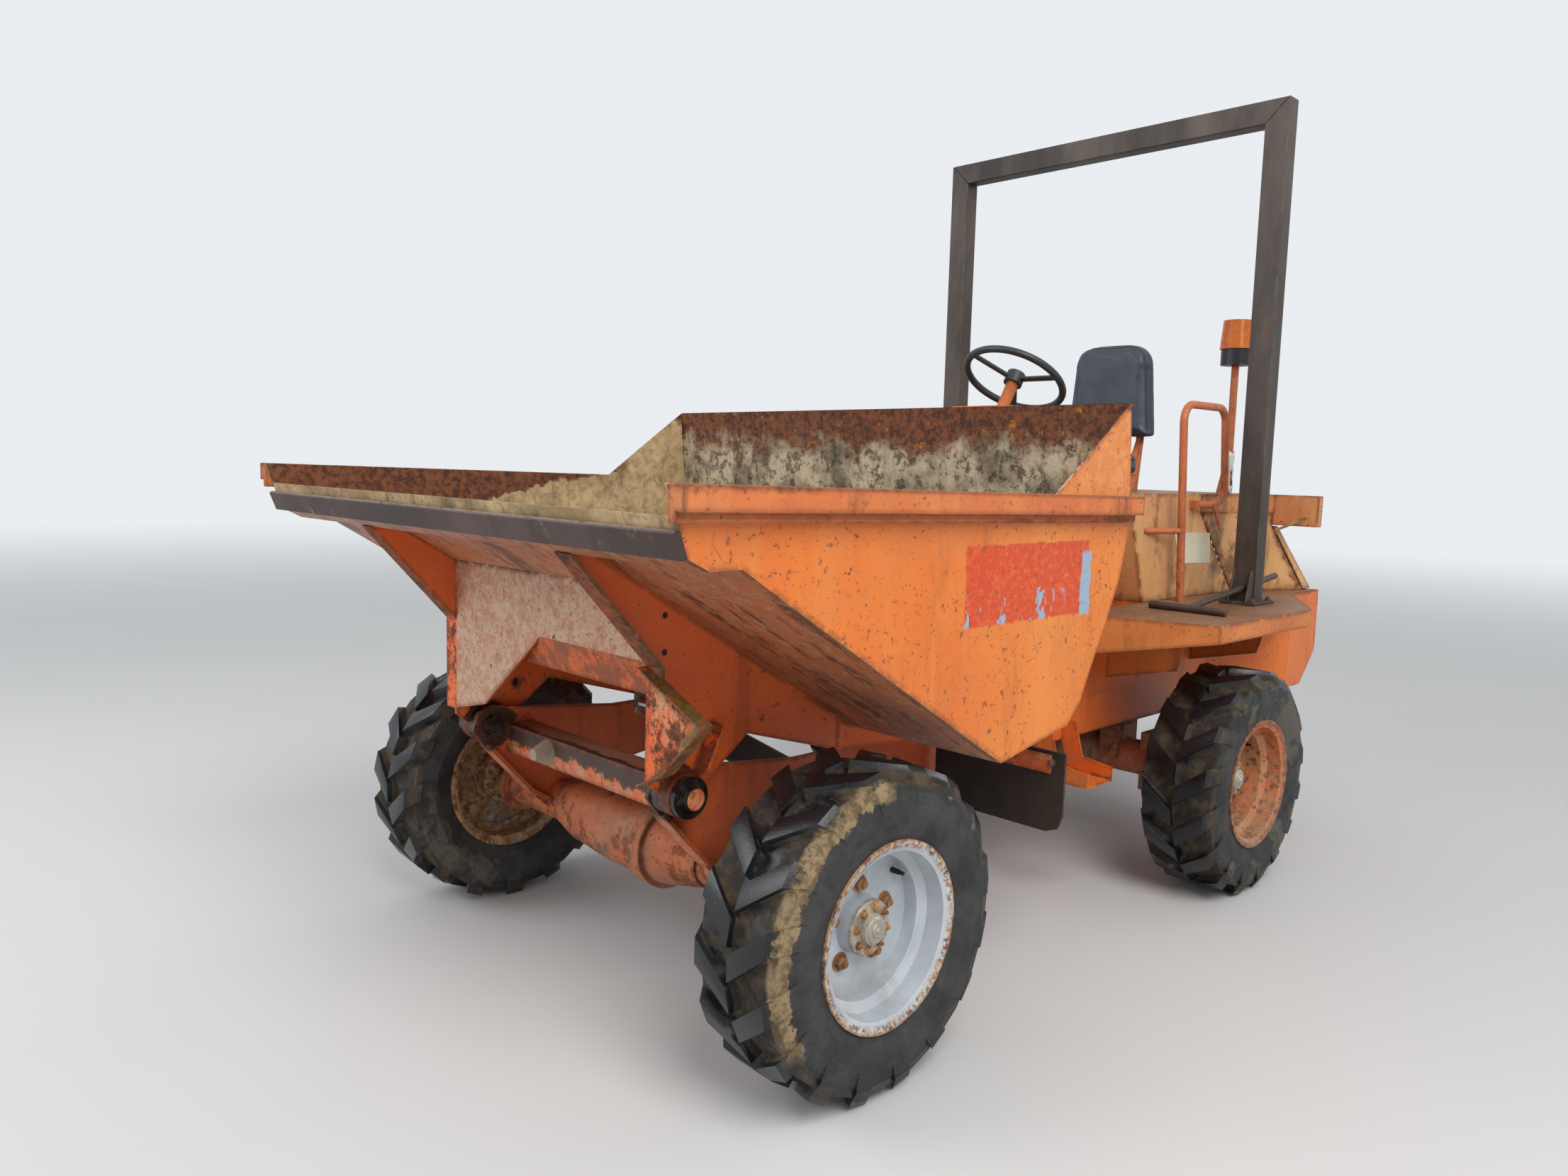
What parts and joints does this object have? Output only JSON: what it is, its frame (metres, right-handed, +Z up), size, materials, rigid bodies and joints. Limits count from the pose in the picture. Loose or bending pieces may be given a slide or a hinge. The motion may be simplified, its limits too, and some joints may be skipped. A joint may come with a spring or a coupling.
{
  "type": "site dumper",
  "caption": "Rigid-chassis site dumper: a front tipping skip on a ram, a driver's seat over the engine hood, a roll-over frame, and steered rear wheels with chevron-lugged tyres.",
  "frame": {"origin": "on the ground, under the middle of the machine's length and width", "axes": "+X forward to the skip's lip, +Y to the machine's left, +Z up"},
  "size_m": [3.646, 1.952, 2.705],
  "materials": {
    "orange_paint": "worn gloss",
    "deck_paint": "worn matte",
    "wear_steel": "worn",
    "axle_paint": "matte",
    "frame_paint": "satin",
    "ram_paint": "satin",
    "rod_chrome": "polished",
    "front_rim_paint": "worn",
    "rear_rim_paint": "worn",
    "tyre_rubber": "matte",
    "flap_rubber": "matte",
    "seat_vinyl": "satin",
    "wheel_grip": "matte",
    "amber_lens": "gloss"
  },
  "bodies": {
    "chassis": {"chassis_frame": "orange_paint", "hinge_pins": "wear_steel", "tipping_buffer": "flap_rubber", "front_axle": "axle_paint", "rear_axle": "axle_paint", "rear_body": "orange_paint", "rear_deck": "deck_paint", "fenders": "orange_paint", "foot_pedals": "frame_paint", "console": "orange_paint", "seat_frame": "orange_paint", "seat_cushion": "seat_vinyl", "seat_backrest": "seat_vinyl", "seat_box": "orange_paint", "hood_cap": "orange_paint", "hood_sides": "orange_paint", "engine_block": "axle_paint", "propshafts": "axle_paint", "rops_post_left": "frame_paint", "rops_post_right": "frame_paint", "rops_beam": "frame_paint", "rops_lock_bar": "frame_paint", "grab_handle": "orange_paint", "beacon_pole": "orange_paint", "beacon_lens": "amber_lens", "mud_flaps": "flap_rubber", "steps": "orange_paint"},
    "skip": {"skip_bowl": "orange_paint", "skip_sides": "orange_paint", "skip_rims": "orange_paint", "lip_bar": "wear_steel", "skip_underframe": "orange_paint", "skip_keels": "orange_paint"},
    "ram_tube": {"ram_barrel": "ram_paint"},
    "ram_piston": {"ram_rod": "rod_chrome"},
    "wheel_front_left": {"tyre_front_left": "tyre_rubber", "rim_front_left": "front_rim_paint"},
    "wheel_front_right": {"tyre_front_right": "tyre_rubber", "rim_front_right": "front_rim_paint"},
    "steer_left": {"knuckle_left": "axle_paint"},
    "steer_right": {"knuckle_right": "axle_paint"},
    "wheel_rear_left": {"tyre_rear_left": "tyre_rubber", "rim_rear_left": "rear_rim_paint"},
    "wheel_rear_right": {"tyre_rear_right": "tyre_rubber", "rim_rear_right": "rear_rim_paint"},
    "track_rod": {"tie_rod": "axle_paint"},
    "hand_wheel": {"steering_wheel": "wheel_grip"},
    "tail_lid": {"tail_cover": "orange_paint"}
  },
  "joints": [
    {"name": "skip_tip", "type": "hinge", "parent": "chassis", "child": "skip", "pos_m": [1.401, 0, 0.644], "axis": [0, 1, 0], "range_deg": [0, 80]},
    {"name": "ram_swing", "type": "hinge", "parent": "chassis", "child": "ram_tube", "pos_m": [0.408, 0, 0.34], "axis": [0, -1, 0], "range_deg": [-0.5, 0.99]},
    {"name": "ram_stroke", "type": "slide", "parent": "ram_tube", "child": "ram_piston", "axis": [0.8742, 0, 0.4856], "range_m": [0, 0.3739]},
    {"name": "front_left_spin", "type": "hinge", "parent": "chassis", "child": "wheel_front_left", "pos_m": [1.158, 0.784, 0.38], "axis": [0, 1, 0], "continuous": true},
    {"name": "front_right_spin", "type": "hinge", "parent": "chassis", "child": "wheel_front_right", "pos_m": [1.158, -0.784, 0.38], "axis": [0, 1, 0], "continuous": true},
    {"name": "steer_left_turn", "type": "hinge", "parent": "chassis", "child": "steer_left", "pos_m": [-0.728, 0.6, 0.38], "axis": [0, 0, 1], "range_deg": [-25, 25]},
    {"name": "steer_right_turn", "type": "hinge", "parent": "chassis", "child": "steer_right", "pos_m": [-0.728, -0.6, 0.38], "axis": [0, 0, 1], "range_deg": [-25, 25]},
    {"name": "track_rod_slide", "type": "slide", "parent": "chassis", "child": "track_rod", "axis": [0, 1, 0], "range_m": [-0.079, 0.079]},
    {"name": "rear_left_spin", "type": "hinge", "parent": "steer_left", "child": "wheel_rear_left", "pos_m": [-0.728, 0.784, 0.38], "axis": [0, 1, 0], "continuous": true},
    {"name": "rear_right_spin", "type": "hinge", "parent": "steer_right", "child": "wheel_rear_right", "pos_m": [-0.728, -0.784, 0.38], "axis": [0, 1, 0], "continuous": true},
    {"name": "hand_wheel_turn", "type": "hinge", "parent": "chassis", "child": "hand_wheel", "pos_m": [-0.502, 0, 1.735], "axis": [-0.5299, 0, 0.848], "continuous": true},
    {"name": "tail_lid_open", "type": "hinge", "parent": "chassis", "child": "tail_lid", "pos_m": [-1.814, 0, 0.966], "axis": [0, -1, 0], "range_deg": [0, 75]}
  ],
  "couplings": [
    {"joint": "ram_swing", "follows": "skip_tip", "ratio": 0.006111},
    {"joint": "ram_stroke", "follows": "skip_tip", "m_per_rad": 0.26638},
    {"joint": "steer_right_turn", "follows": "steer_left_turn", "ratio": 1},
    {"joint": "track_rod_slide", "follows": "steer_left_turn", "m_per_rad": -0.17919}
  ]
}
